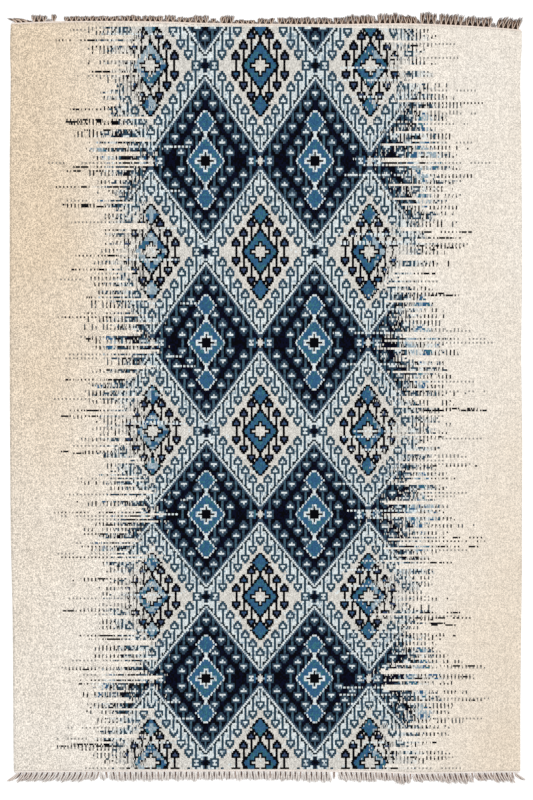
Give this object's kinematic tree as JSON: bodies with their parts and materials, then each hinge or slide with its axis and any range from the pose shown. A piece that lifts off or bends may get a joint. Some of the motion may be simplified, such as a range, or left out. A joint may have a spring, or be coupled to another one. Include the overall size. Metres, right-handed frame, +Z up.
{
  "type": "kilim rug",
  "caption": "Flat woven rug with a stepped diamond lattice that fades out at both sides, and a knotted warp fringe at each short end.",
  "frame": {"origin": "on the floor under the middle of the whole rug, fringes included", "axes": "+X across the rug, +Y along it towards the end whose fringe is shorter, +Z up"},
  "size_m": [1.6186, 2.4186, 0.004],
  "materials": {
    "cloth": "matt, dry flatwoven wool",
    "fringe": "matt, loosely plied cotton and wool warp ends"
  },
  "bodies": {
    "root": {"cloth": "cloth", "fringe_top": "fringe", "fringe_bottom": "fringe"}
  },
  "joints": []
}
